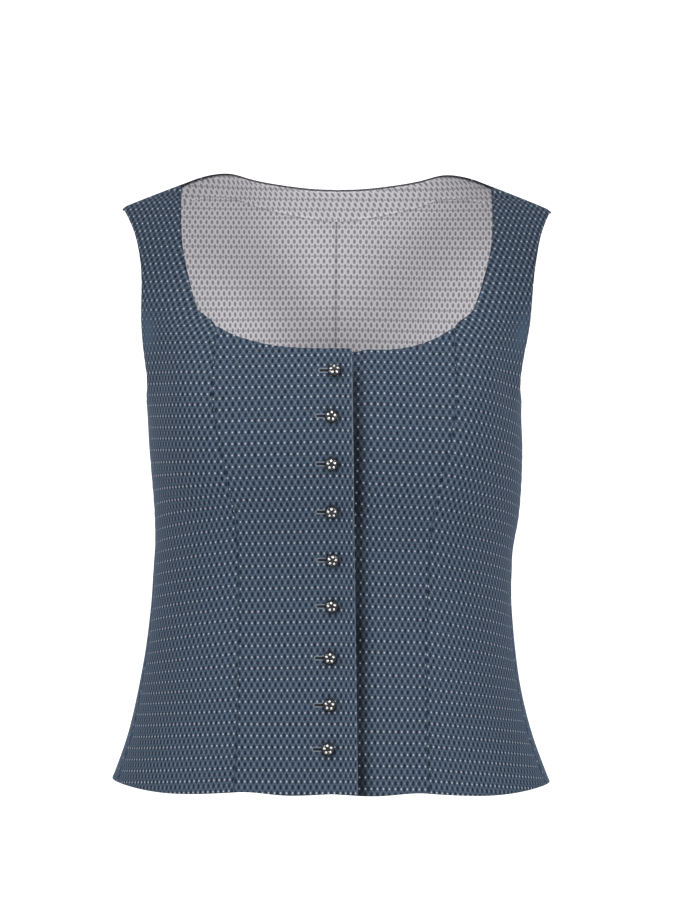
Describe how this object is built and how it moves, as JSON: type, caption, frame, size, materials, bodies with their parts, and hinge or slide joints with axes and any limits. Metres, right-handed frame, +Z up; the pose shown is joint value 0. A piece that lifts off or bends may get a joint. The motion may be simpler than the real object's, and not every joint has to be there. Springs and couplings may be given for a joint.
{
  "type": "dirndl bodice",
  "caption": "Fitted sleeveless bodice with a wide low neckline, panel seams, wide straps and a buttoned centre front, in its worn hollow shape.",
  "frame": {"origin": "midway between the neck ends of the shoulder seams, where the wearer's shoulders hold it up", "axes": "+Z up; the front faces -Y; +X is the wearer's left"},
  "size_m": [0.3846, 0.2653, 0.5423],
  "materials": {
    "cloth": "woven jacquard, small dots on dark blue",
    "facing": "pale reverse of the same cloth",
    "metal": "dark polished metal"
  },
  "bodies": {
    "root": {"front_centre_right": "cloth", "front_centre_left": "cloth", "front_side_left": "cloth", "front_side_right": "cloth", "back_side_left": "cloth", "back_side_right": "cloth", "back_centre_left": "cloth", "back_centre_right": "cloth", "back_neck_facing": "facing", "strap_facing_left": "facing", "strap_facing_right": "facing", "button_1": "metal", "button_2": "metal", "button_3": "metal", "button_4": "metal", "button_5": "metal", "button_6": "metal", "button_7": "metal", "button_8": "metal", "button_9": "metal"}
  },
  "joints": []
}
